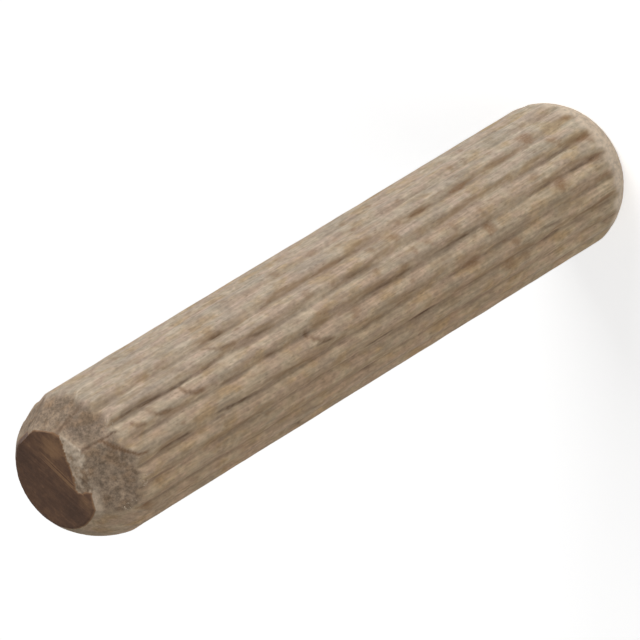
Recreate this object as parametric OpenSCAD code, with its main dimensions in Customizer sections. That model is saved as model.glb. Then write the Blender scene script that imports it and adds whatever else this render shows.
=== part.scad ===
// Fluted wooden dowel pin, standing on its plain end.
// Both ends have a crowned nose. The upper end was sawn, and its nose was
// trimmed by hand: four flats follow it on one side, and a chip has left its face.
// Directions are degrees about the axis, counted from +X towards +Y.

/* [Dowel] */
// Diameter over the lands
dowel_d = 8; // [6:0.5:12]
// Length from end to end
dowel_l = 40; // [25:1:80]

/* [Flutes] */
// Number of flutes round the shank
flute_count = 21; // [14:1:26]
// Depth of a flute below the lands
flute_depth = 0.22; // [0.15:0.01:0.3]
// Angle between the two flanks of a flute
flute_angle = 86; // [60:1:110]
// Radius of the rounded bottom of a flute
flute_root_r = 0.1; // [0.05:0.01:0.14]
// Radius of the eased edge between a land and a flute
land_edge_r = 0.1; // [0.05:0.01:0.2]
// Angle at which the eased edge meets the land
land_edge_turn = 18; // [10:1:30]
// Direction of the first flute
flute_turn = -7.7; // [-180:0.1:180]

/* [Noses] */
// How far the widest point of each crown lies outside the lands
crown_over = 0.05; // [0.02:0.01:0.1]

/* [Plain end] */
// Diameter of the flat that the dowel stands on
plain_face_d = 5.9; // [4.5:0.1:5.9]
// Radius of the crown along the plain nose
plain_crown_r = 3.5; // [3:0.1:8]

/* [Sawn end] */
// Diameter of the sawn face
sawn_face_d = 5.2; // [4:0.1:5.8]
// Radius of the crown along the sawn nose
sawn_crown_r = 5; // [3.5:0.1:9]
// How far the sawn nose was cut off centre
nose_shift = 0.14; // [0:0.01:0.25]
// Direction in which the sawn nose is off centre
nose_shift_turn = -18; // [-180:1:180]

/* [Trimmed flats] */
// Direction that the side flat faces
side_flat_turn = 8; // [-10:1:20]
// Distance of the side flat from the axis at the sawn face
side_flat_out = 2.64; // [2.2:0.01:2.9]
// Length of the side flat along the axis
side_flat_l = 2.4; // [1.6:0.05:3]
// Direction that the upper flat faces
upper_flat_turn = -27; // [-40:1:-15]
// Distance of the upper flat from the axis at the sawn face
upper_flat_out = 2.7; // [2.2:0.01:2.9]
// Length of the upper flat along the axis
upper_flat_l = 2.35; // [1.6:0.05:3]
// Direction that the front flat faces
front_flat_turn = -63; // [-80:1:-45]
// Distance of the front flat from the axis at the sawn face
front_flat_out = 2.66; // [2.2:0.01:2.9]
// Length of the front flat along the axis
front_flat_l = 2.15; // [1.6:0.05:3]
// Direction that the lower flat faces
lower_flat_turn = -115; // [-130:1:-95]
// Distance of the lower flat from the axis at the sawn face
lower_flat_out = 2.14; // [1.9:0.01:2.9]
// Length of the lower flat along the axis
lower_flat_l = 2.3; // [1.6:0.05:3]

/* [Chip] */
// Direction from the axis to the chip in the sawn face
chip_turn = -111; // [-130:1:-95]
// Distance from the axis to the inner edge of the chip
chip_out = 1.22; // [0.8:0.01:1.8]
// Angle by which the floor of the chip falls towards the rim
chip_fall = 6; // [2:0.5:15]
// Distance from the middle of the inner edge to the lower end of the chip
chip_end = 0.58; // [0.2:0.01:1.2]

/* [Hidden] */

$fn = 96;
dowel_r = dowel_d / 2;
// Longer than any cut needs to be
reach = 2 * dowel_d;
flute_pitch = 360 / flute_count;

// A flute is drawn with its middle along +X, seen from the axis of the dowel.
half_angle = flute_angle / 2;
flank_way = [cos(half_angle), sin(half_angle)];
flank_out = [-sin(half_angle), cos(half_angle)];
root_middle = [dowel_r - flute_depth + flute_root_r, 0];
flank_foot = root_middle + flute_root_r * flank_out;

// The eased edge is an arc that touches the flank and meets the land at a
// small angle, which sets how far from the axis its middle lies.
edge_middle_sq = pow(dowel_r, 2) + pow(land_edge_r, 2) - 2 * dowel_r * land_edge_r * cos(land_edge_turn);
edge_start = flank_foot + land_edge_r * flank_out;
edge_along = edge_start * flank_way;
edge_run = sqrt(pow(edge_along, 2) - edge_start * edge_start + edge_middle_sq) - edge_along;
edge_middle = edge_start + edge_run * flank_way;
flank_head = flank_foot + edge_run * flank_way;
edge_outside = edge_middle * reach / dowel_r;

function other_side(p) = [p[0], -p[1]];

// Section of one flute, which runs out past the land
module flute_section() {
    difference() {
        union() {
            polygon([
                flank_foot, flank_head, edge_middle, edge_outside,
                other_side(edge_outside), other_side(edge_middle),
                other_side(flank_head), other_side(flank_foot)
            ]);
            translate(root_middle) circle(r = flute_root_r);
        }
        translate(edge_middle) circle(r = land_edge_r);
        translate(other_side(edge_middle)) circle(r = land_edge_r);
    }
}

// Round bar with its flutes, from end to end
module fluted_bar() {
    linear_extrude(dowel_l)
        difference() {
            circle(r = dowel_r);
            for (i = [0 : flute_count - 1])
                rotate(flute_turn + i * flute_pitch) flute_section();
        }
}

// Solid of revolution that stands on z = 0. At its top an arc runs from the
// rim of the end face to the widest point, below which the sides are upright.
module nose_form(face_r, crown_r, widest_r) {
    middle_r = widest_r - crown_r;
    middle_z = dowel_l - sqrt(pow(crown_r, 2) - pow(face_r - middle_r, 2));
    rotate_extrude() {
        square([widest_r, middle_z]);
        intersection() {
            translate([middle_r, middle_z]) circle(r = crown_r);
            translate([0, middle_z]) square([widest_r, dowel_l - middle_z]);
        }
    }
}

module plain_nose() {
    translate([0, 0, dowel_l])
        mirror([0, 0, 1])
            nose_form(plain_face_d / 2, plain_crown_r, dowel_r + crown_over);
}

module sawn_nose() {
    rotate(nose_shift_turn)
        translate([nose_shift, 0, 0])
            nose_form(sawn_face_d / 2, sawn_crown_r, dowel_r + nose_shift + crown_over);
}

// Block that takes away everything outside a flat, which leans from out at
// the sawn face to the lands at its own length below that face
module flat_cut(turn, out, flat_l) {
    lean = atan2(dowel_r - out, flat_l);
    rotate(turn)
        translate([out, 0, dowel_l])
            rotate([0, -lean, 0])
                translate([0, -reach / 2, -reach])
                    cube([reach, reach, 2 * reach]);
}

// Block that takes the chip out of the sawn face
module chip_cut() {
    rotate(chip_turn)
        translate([chip_out, 0, dowel_l])
            rotate([0, chip_fall, 0])
                translate([0, -chip_end, 0])
                    cube([reach, reach, reach]);
}

module dowel_pin() {
    color([0.66, 0.57, 0.46])
        difference() {
            intersection() {
                fluted_bar();
                plain_nose();
                sawn_nose();
            }
            flat_cut(side_flat_turn, side_flat_out, side_flat_l);
            flat_cut(upper_flat_turn, upper_flat_out, upper_flat_l);
            flat_cut(front_flat_turn, front_flat_out, front_flat_l);
            flat_cut(lower_flat_turn, lower_flat_out, lower_flat_l);
            chip_cut();
        }
}

dowel_pin();
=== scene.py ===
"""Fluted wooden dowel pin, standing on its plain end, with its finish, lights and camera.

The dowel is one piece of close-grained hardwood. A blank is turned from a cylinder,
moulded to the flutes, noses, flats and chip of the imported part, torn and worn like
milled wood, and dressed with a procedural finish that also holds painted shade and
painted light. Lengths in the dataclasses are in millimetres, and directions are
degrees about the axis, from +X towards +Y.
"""

import logging
import math
from contextlib import contextmanager
from dataclasses import dataclass, field
from enum import Enum
from typing import Callable, Iterator, Sequence

import bmesh
import bpy
import numpy as np
from mathutils import Matrix, Vector, noise


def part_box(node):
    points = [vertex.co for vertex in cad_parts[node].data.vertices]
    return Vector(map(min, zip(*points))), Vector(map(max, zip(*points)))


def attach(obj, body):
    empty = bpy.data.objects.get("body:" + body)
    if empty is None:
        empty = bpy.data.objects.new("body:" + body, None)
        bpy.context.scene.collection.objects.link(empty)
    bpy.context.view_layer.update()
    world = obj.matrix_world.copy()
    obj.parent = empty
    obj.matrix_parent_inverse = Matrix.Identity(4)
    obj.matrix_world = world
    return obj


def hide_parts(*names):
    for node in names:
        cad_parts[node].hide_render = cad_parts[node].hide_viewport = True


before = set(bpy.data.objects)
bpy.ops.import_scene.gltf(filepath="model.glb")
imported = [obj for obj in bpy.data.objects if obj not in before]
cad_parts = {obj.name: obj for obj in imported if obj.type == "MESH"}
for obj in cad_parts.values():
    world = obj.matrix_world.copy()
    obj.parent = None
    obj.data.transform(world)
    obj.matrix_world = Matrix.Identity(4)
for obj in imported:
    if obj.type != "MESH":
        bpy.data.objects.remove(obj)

LOG = logging.getLogger("dowel")
NODE = "dowel_pin"
BODY = "root"
MM = 0.001
TINY = 1e-6
FULL_TURN = 360.0
HALF_TURN = 180.0
# Slant past which a mark is drawn along the grain
STEEP = 2.0

Span = tuple[float, float]
Tone = tuple[float, float, float, float]


class Mark(Enum):
    """Names of the point attributes that carry what was done to the wood, and where shade and light are
    painted on it.
    """

    FLUTE_SHADE_AND_DIRT = "flute_shade_and_dirt"
    TORN_AND_FLANK_SHADE = "torn"
    FLECK = "fleck"
    STROKE = "stroke"
    END_CUT = "end_cut"
    SHADE = "shade"
    SCORCH = "scorch"
    PALE = "pale"
    SAWN = "sawn"


@dataclass(frozen=True)
class Flat:
    """A flat trimmed on the sawn nose.

    Attributes:
        turn: Direction that the flat faces.
        out: Distance from the axis at the sawn face.
        length: Length along the axis, down to the lands.
        shade: How dark its cut fibres look, from 0 to 1.
        look_length: Length of the slope that its torn border follows.
    """

    turn: float
    out: float
    length: float
    shade: float
    look_length: float


@dataclass(frozen=True)
class Spot:
    """A mark on the shank: a ray fleck, a dark stroke or a short ring line.

    Attributes:
        turn: Direction of its middle.
        height: Height of its middle above the plain end.
        long: Half length along the grain.
        wide: Half width across the grain.
        strength: How strongly it shows, from 0 to 1.
        slant: Rise along the grain for each millimetre across it.
    """

    turn: float
    height: float
    long: float
    wide: float
    strength: float
    slant: float = 0.0


@dataclass(frozen=True)
class RingLine:
    """A thin reddish line where a growth ring meets the surface.

    Attributes:
        places: Direction and height of a few points along it.
        wide: Half width of the line.
        strength: How strongly it shows, from 0 to 1.
    """

    places: tuple[Span, ...]
    wide: float
    strength: float


def smooth(low: float, high: float, value: np.ndarray) -> np.ndarray:
    """Eased step.

    Args:
        low: Value at which the step leaves 0.
        high: Value at which the step reaches 1.
        value: Where to read it.

    Returns:
        The step, from 0 to 1.
    """
    t = np.clip((value - low) / (high - low), 0.0, 1.0)
    return t * t * (3.0 - 2.0 * t)


def soft_min(a: np.ndarray, b: np.ndarray, blend: float) -> np.ndarray:
    """Smaller of two values, rounded where they cross.

    Args:
        a: First value.
        b: Second value.
        blend: Width of the rounding.

    Returns:
        The rounded minimum.
    """
    h = np.clip(0.5 + 0.5 * (b - a) / blend, 0.0, 1.0)
    return b * (1.0 - h) + a * h - blend * h * (1.0 - h)


@dataclass(frozen=True)
class Band:
    """A rise and a fall along one measure.

    Attributes:
        start: Where the rise starts.
        full: Where it reaches 1.
        fade: Where the fall starts.
        end: Where it is back at 0.
    """

    start: float
    full: float
    fade: float
    end: float

    def at(self, value: np.ndarray) -> np.ndarray:
        """Height of the band at each value, from 0 to 1."""
        return smooth(self.start, self.full, value) * (1.0 - smooth(self.fade, self.end, value))


class Ripple(Enum):
    """Noises that shape and mark the wood.

    Each holds its size along X, Y and Z in millimetres, an offset that picks
    one noise from another, and its strength.
    """

    FLUTE_DRIFT = ((1.2, 1.2, 6.0), 4.2, 1.0)
    FLUTE_DRIFT_SHORT = ((0.7, 0.7, 1.6), 9.6, 0.5)
    SWELL = ((0.9, 0.9, 5.0), 2.4, 0.35)
    SWELL_SHORT = ((0.6, 0.6, 1.8), 7.9, 0.3)
    TEAR = ((0.35, 0.35, 1.8), 13.3, 1.0)
    TEAR_FINE = ((0.2, 0.2, 1.0), 3.8, 0.4)
    CHIP_FRAY = ((0.42, 0.42, 1.0), 89.0, 0.12)
    CHIP_FRAY_FINE = ((0.16, 0.16, 1.0), 93.0, 0.07)
    CHIP_FLOOR = ((0.3, 0.5, 1.0), 79.0, 0.07)
    CHIP_PATCH = ((0.3, 0.26, 1.0), 95.0, 1.0)
    CHIP_PATCH_FINE = ((0.12, 0.12, 1.0), 99.0, 0.7)
    FLAT_FRAY = ((0.35, 0.35, 0.35), 33.0, 0.05)
    CUT_FRAY = ((0.4, 0.4, 0.5), 27.0, 0.12)
    SPOT_FRAY = ((0.12, 0.12, 0.6), 41.0, 0.35)
    FIBRES = ((0.25, 0.25, 4.0), 21.0, 0.009)
    FIBRES_SHORT = ((0.2, 0.2, 1.6), 5.5, 0.0054)
    FUZZ = ((0.3, 0.3, 0.4), 31.0, 0.016)
    FUZZ_FINE = ((0.2, 0.2, 0.3), 17.0, 0.0112)
    BOW = ((1.6, 1.6, 7.0), 11.0, 0.012)
    LUMPS = ((0.7, 0.7, 1.3), 15.0, 0.02)
    END_GRAIN = ((0.2, 0.2, 1.0), 51.0, 1.0)
    END_GRAIN_FINE = ((0.1, 0.1, 1.0), 57.0, 0.6)
    SAW_LINES = ((5.0, 0.12, 1.0), 61.0, 1.0)
    SAW_BANDS = ((7.0, 0.3, 1.0), 67.0, 0.8)
    SAW_PITS = ((0.22, 0.16, 1.0), 71.0, 1.0)
    SCORCH_FRAY = ((0.2, 0.2, 1.0), 77.0, 0.45)
    SCORCH_CLOUD = ((0.9, 0.6, 1.0), 87.0, 0.1)

    def at(self, points: np.ndarray) -> np.ndarray:
        """Reads the noise.

        Args:
            points: Points in millimetres, one row each.

        Returns:
            Noise for each point, about 0 and up to about the ripple's strength.
        """
        pitch, seed, strength = self.value
        scaled = points / np.array(pitch) + seed * np.array([1.0, 1.7, -2.3])
        return strength * np.array([noise.noise(row) for row in scaled.tolist()])


def stirred(points: np.ndarray, *ripples: Ripple) -> np.ndarray:
    """Adds up some ripples at each point."""
    return sum(ripple.at(points) for ripple in ripples)


def pick_only(*pieces: bpy.types.Object) -> None:
    """Selects some objects and nothing else, and makes the first one active."""
    bpy.ops.object.select_all(action="DESELECT")
    for piece in pieces:
        piece.select_set(True)
    bpy.context.view_layer.objects.active = pieces[0]


@contextmanager
def editing(piece: bpy.types.Object) -> Iterator[None]:
    """Keeps a piece, and nothing else, in edit mode.

    Args:
        piece: The mesh object to edit.

    Yields:
        Nothing. The piece is in edit mode with nothing selected.
    """
    pick_only(piece)
    bpy.ops.object.mode_set(mode="EDIT")
    bpy.ops.mesh.select_all(action="DESELECT")
    yield
    bpy.ops.object.mode_set(mode="OBJECT")


def pick_edges(piece: bpy.types.Object, test: Callable[[Vector, Vector], bool]) -> None:
    """Selects the edges whose two ends pass a test, and nothing else.

    Args:
        piece: The mesh object in edit mode.
        test: Takes both ends of an edge, in metres.
    """
    bpy.ops.mesh.select_mode(type="EDGE")
    bpy.ops.mesh.select_all(action="DESELECT")
    shape = bmesh.from_edit_mesh(piece.data)
    for edge in shape.edges:
        edge.select_set(test(edge.verts[0].co, edge.verts[1].co))
    bmesh.update_edit_mesh(piece.data)


@dataclass(frozen=True)
class Skin:
    """Points on the round of the lands, from which the worn surface is worked out.

    Attributes:
        turn: Direction of each point.
        height: Height of each point.
        points: The points, in millimetres.
    """

    turn: np.ndarray
    height: np.ndarray
    points: np.ndarray


@dataclass
class Flutes:
    """The flutes round the shank, as they are after milling and wear.

    Attributes:
        count: Number of flutes.
        first: Direction of the first flute.
        depth: Depth of a clean flute below the lands.
        notch: Share of the depth that is the narrow notch at its bottom.
        notch_wide: Half width of that notch, in degrees.
        sharp: How much narrower the flutes are than the lands.
        stray: How far a flute wanders to either side, in degrees.
        clean_turn: Direction of the side where the flutes are cleanest and shallowest.
        clean_side: Cosines of the angle from there at which the clean side starts and is whole.
        shallow: Depth on the clean side, as a share of the depth elsewhere.
        bite: Depth of the wood torn out beside a flute.
        shaded_flank: Degrees across a flute between which its shaded flank is torn.
        bitten_flank: Degrees across it between which wood is torn out.
        lit_flank_shade: Degrees across it between which painted shade darkens its lit flank.
        shifts: Flutes that were cut off their pitch, with the degrees.
    """

    count: int = 21
    first: float = -7.7
    depth: float = 0.22
    notch: float = 0.2
    notch_wide: float = 1.5
    sharp: float = 1.2
    stray: float = 0.8
    clean_turn: float = -2.0
    clean_side: Span = (0.58, 0.94)
    shallow: float = 0.64
    bite: float = 0.06
    shaded_flank: Band = Band(0.2, 2.4, 4.5, 8.5)
    bitten_flank: Band = Band(0.2, 1.6, 2.5, 6.0)
    lit_flank_shade: Band = Band(-9.5, -5.5, -3.0, -1.0)
    shifts: tuple[tuple[int, float], ...] = (
        (-2, 1.6),
        (-3, 0.3),
        (-5, -0.4),
        (-6, -2.2),
        (-7, -1.8),
        (-8, -2.4),
        (-9, -2.4),
    )

    @property
    def pitch(self) -> float:
        """Degrees from one flute to the next."""
        return FULL_TURN / self.count

    def across(self, skin: Skin) -> np.ndarray:
        """Place across the nearest flute.

        Args:
            skin: Points on the skin.

        Returns:
            Degrees from the middle of the nearest flute, positive towards the
            side that the light leaves in shade.
        """
        number = np.round((skin.turn - self.first) / self.pitch)
        across = (skin.turn - self.first) - number * self.pitch
        soft = self.wave(across)
        for flute, shift in self.shifts:
            across = across - np.where(number == flute, shift * soft, 0.0)
        drift = stirred(skin.points, Ripple.FLUTE_DRIFT, Ripple.FLUTE_DRIFT_SHORT)
        return across - self.stray * drift * soft

    def wave(self, across: np.ndarray) -> np.ndarray:
        """Even wave across the flutes, 1 in the middle of a flute and 0 between two."""
        return 0.5 + 0.5 * np.cos(np.radians(FULL_TURN * across / self.pitch))

    def fall(self, skin: Skin) -> tuple[np.ndarray, np.ndarray]:
        """How far the surface lies below the round of the lands.

        Args:
            skin: Points on the skin.

        Returns:
            The fall in millimetres, and how torn the edge is there, with painted shade on the lit flank
            added in.
        """
        across = self.across(skin)
        facing = np.cos(np.radians(skin.turn - self.clean_turn))
        rough = 1.0 - smooth(*self.clean_side, facing)
        swell = 1.0 + stirred(skin.points, Ripple.SWELL, Ripple.SWELL_SHORT)
        swell = swell * (self.shallow + (1.0 - self.shallow) * rough)
        notch = np.exp(-((across / self.notch_wide) ** 2))
        section = (1.0 - self.notch) * self.wave(across) ** self.sharp + self.notch * notch
        tear = smooth(0.0, 0.5, stirred(skin.points, Ripple.TEAR, Ripple.TEAR_FINE))
        bite = self.bitten_flank.at(across) * tear
        shaded = self.shaded_flank.at(across) * (0.5 + 0.8 * tear)
        # Painted shade: darkens the lit flank of each flute on the rough side, so that its brightest place
        # lies nearer the middle of the land.
        worn = self.lit_flank_shade.at(across) * (0.12 + 0.34 * tear)
        torn = (0.2 + 0.8 * rough) * shaded + rough * worn
        return self.depth * swell * section + self.bite * rough * bite, np.clip(torn, 0.0, 1.0)


@dataclass
class Noses:
    """The crowned noses, the trimmed flats and the chip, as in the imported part.

    Attributes:
        plain_face_r: Radius of the plain face.
        plain_crown_r: Radius of the crown along the plain nose.
        sawn_face_r: Radius of the sawn face.
        sawn_crown_r: Radius of the crown along the sawn nose.
        over: How far the widest point of a crown lies outside the lands.
        shift: How far the sawn nose is off centre.
        shift_turn: Direction of that shift.
        flats: The trimmed flats, from the side that faces the light.
        chip_turn: Direction of the chip in the sawn face.
        chip_out: Distance from the axis to the inner edge of the chip.
        chip_fall: Angle by which its floor falls.
        chip_end: Distance from the middle of its inner edge to its lower end.
        chip_step: Depth of the step at its inner edge.
    """

    plain_face_r: float = 2.95
    plain_crown_r: float = 3.5
    sawn_face_r: float = 2.6
    sawn_crown_r: float = 5.0
    over: float = 0.05
    shift: float = 0.14
    shift_turn: float = -18.0
    flats: tuple[Flat, ...] = (
        Flat(8.0, 2.64, 2.4, 0.4, 2.4),
        Flat(-27.0, 2.7, 2.35, 0.4, 2.35),
        Flat(-63.0, 2.66, 2.15, 0.95, 2.15),
        Flat(-115.0, 2.14, 2.3, 0.3, 2.9),
    )
    chip_turn: float = -111.0
    chip_out: float = 1.22
    chip_fall: float = 6.0
    chip_end: float = 0.58
    chip_step: float = 0.03

    @staticmethod
    def crown(depth: np.ndarray, face_r: float, crown_r: float, widest_r: float) -> np.ndarray:
        """Radius of a crowned nose at a depth below its end face.

        Args:
            depth: Depth below the end face.
            face_r: Radius of the end face.
            crown_r: Radius of the crown.
            widest_r: Radius where the crown is widest.

        Returns:
            The radius at each depth.
        """
        middle_r = widest_r - crown_r
        middle = math.sqrt(crown_r**2 - (face_r - middle_r) ** 2)
        left = np.clip(middle - depth, 0.0, crown_r)
        return middle_r + np.sqrt(crown_r**2 - left**2)

    def plain(self, height: np.ndarray, radius: float) -> np.ndarray:
        """Radius of the plain nose at each height."""
        return self.crown(height, self.plain_face_r, self.plain_crown_r, radius + self.over)

    def sawn(self, turn: np.ndarray, depth: np.ndarray, radius: float) -> np.ndarray:
        """Radius of the sawn nose, measured from the dowel's own axis.

        Args:
            turn: Direction of each point.
            depth: Depth of each point below the sawn face.
            radius: Radius over the lands.

        Returns:
            The radius in each direction.
        """
        own = self.crown(depth, self.sawn_face_r, self.sawn_crown_r, radius + self.shift + self.over)
        away = np.radians(turn - self.shift_turn)
        return self.shift * np.cos(away) + np.sqrt(own**2 - (self.shift * np.sin(away)) ** 2)

    @staticmethod
    def flat(cut: Flat, length: float, turn: np.ndarray, depth: np.ndarray, radius: float) -> np.ndarray:
        """Distance from the axis to a flat, in each direction.

        Args:
            cut: The flat.
            length: Length of its slope.
            turn: Direction of each point.
            depth: Depth of each point below the sawn face.
            radius: Radius over the lands.

        Returns:
            The distance, or a long one where the direction misses the flat.
        """
        least = 0.2
        missed = 10.0 * radius
        facing = np.cos(np.radians(turn - cut.turn))
        out = cut.out + depth * (radius - cut.out) / length
        return np.where(facing > least, out / np.maximum(facing, least), missed)

    def slopes(self, skin: Skin, depth: np.ndarray, radius: float, torn: bool) -> list[np.ndarray]:
        """Distances from the axis to all the flats.

        Args:
            skin: Points on the skin.
            depth: Depth of each point below the sawn face.
            radius: Radius over the lands.
            torn: Whether to follow the slopes of the torn borders.

        Returns:
            The distances, one array for each flat.
        """
        slopes = []
        for cut in self.flats:
            length = cut.look_length if torn else cut.length
            slopes.append(self.flat(cut, length, skin.turn, depth, radius))
        return slopes

    def chip_drop(self, x: np.ndarray, y: np.ndarray) -> tuple[np.ndarray, np.ndarray]:
        """How far the chip lowers the sawn face.

        Args:
            x: Place along X on the face.
            y: Place along Y on the face.

        Returns:
            The drop in millimetres, and a mask of the chip.
        """
        way = math.radians(self.chip_turn)
        out = x * math.cos(way) + y * math.sin(way)
        along = -x * math.sin(way) + y * math.cos(way)
        face = np.column_stack([x, y, 0.0 * x])
        fray = stirred(face, Ripple.CHIP_FRAY, Ripple.CHIP_FRAY_FINE)
        inside = smooth(-0.08, 0.1, along + self.chip_end + fray)
        inside = inside * smooth(-0.05, 0.1, out - self.chip_out + fray)
        drop = np.maximum(out - self.chip_out, 0.0) * math.tan(math.radians(self.chip_fall))
        return inside * (drop + self.chip_step), inside


@dataclass
class Blank:
    """The cylinder that the dowel is shaped from, and how finely it is cut.

    Attributes:
        columns: Edges round the blank.
        plain_rows: Rows along the plain nose.
        shank_rows: Rows along the shank.
        sawn_rows: Rows along the sawn nose.
        plain_rings: Rings across the plain face.
        sawn_rings: Rings across the sawn face.
        plain_zone: Height up to which the plain rows run.
        sawn_zone: Depth below the sawn face down to which the sawn rows run.
    """

    columns: int = 420
    plain_rows: int = 14
    shank_rows: int = 150
    sawn_rows: int = 28
    plain_rings: int = 11
    sawn_rings: int = 21
    plain_zone: float = 2.4
    sawn_zone: float = 2.8

    def turn_up(self, name: str, radius: float, length: float) -> bpy.types.Object:
        """Models the blank: a closed cylinder of fine rows and rings.

        Args:
            name: Name of the piece.
            radius: Radius in metres.
            length: Length in metres.

        Returns:
            The blank, with its place in its mesh.
        """
        bpy.ops.object.select_all(action="DESELECT")
        bpy.ops.mesh.primitive_cylinder_add(
            vertices=self.columns,
            radius=radius,
            depth=length,
            end_fill_type="NOTHING",
            location=(0, 0, length / 2),
        )
        piece = bpy.context.object
        piece.name = name
        piece.data.name = name
        bpy.ops.object.transform_apply(location=True, rotation=True, scale=True)
        low, high = self.plain_zone * MM, length - self.sawn_zone * MM
        with editing(piece):
            for height in (low, high):
                bpy.ops.mesh.select_all(action="SELECT")
                bpy.ops.mesh.bisect(plane_co=(0, 0, height), plane_no=(0, 0, 1))
            self.split(piece, 0.0, low, self.plain_rows)
            self.split(piece, high, length, self.sawn_rows)
            middle = (low + high) / 2
            self.split(piece, low, high, 2)
            self.split(piece, low, middle, self.shank_rows // 2)
            self.split(piece, middle, high, self.shank_rows // 2)
            self.close(piece, 0.0, radius, self.plain_rings)
            self.close(piece, length, radius, self.sawn_rings)
            bpy.ops.mesh.select_all(action="SELECT")
            bpy.ops.mesh.normals_make_consistent(inside=False)
        return piece

    @staticmethod
    def split(piece: bpy.types.Object, low: float, high: float, rows: int) -> None:
        """Cuts the upright edges between two heights into even rows.

        Args:
            piece: The blank in edit mode.
            low: Lower end of the edges, in metres.
            high: Upper end of the edges, in metres.
            rows: Number of rows.
        """

        def spans(a: Vector, b: Vector) -> bool:
            """Whether an edge runs from the low end to the high end."""
            return abs(min(a.z, b.z) - low) < TINY and abs(max(a.z, b.z) - high) < TINY

        pick_edges(piece, spans)
        bpy.ops.mesh.subdivide(number_cuts=rows - 1)

    @staticmethod
    def close(piece: bpy.types.Object, height: float, radius: float, rings: int) -> None:
        """Closes one end with even rings and a pole.

        Args:
            piece: The blank in edit mode.
            height: Height of the end, in metres.
            radius: Radius of the end, in metres.
            rings: Number of rings from the rim to the pole.
        """
        pick_edges(piece, lambda a, b: abs(a.z - height) < TINY and abs(b.z - height) < TINY)
        bpy.ops.mesh.edge_face_add()
        for _ in range(rings - 1):
            bpy.ops.mesh.inset(thickness=radius / rings, use_even_offset=False)
        bpy.ops.mesh.poke()


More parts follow.
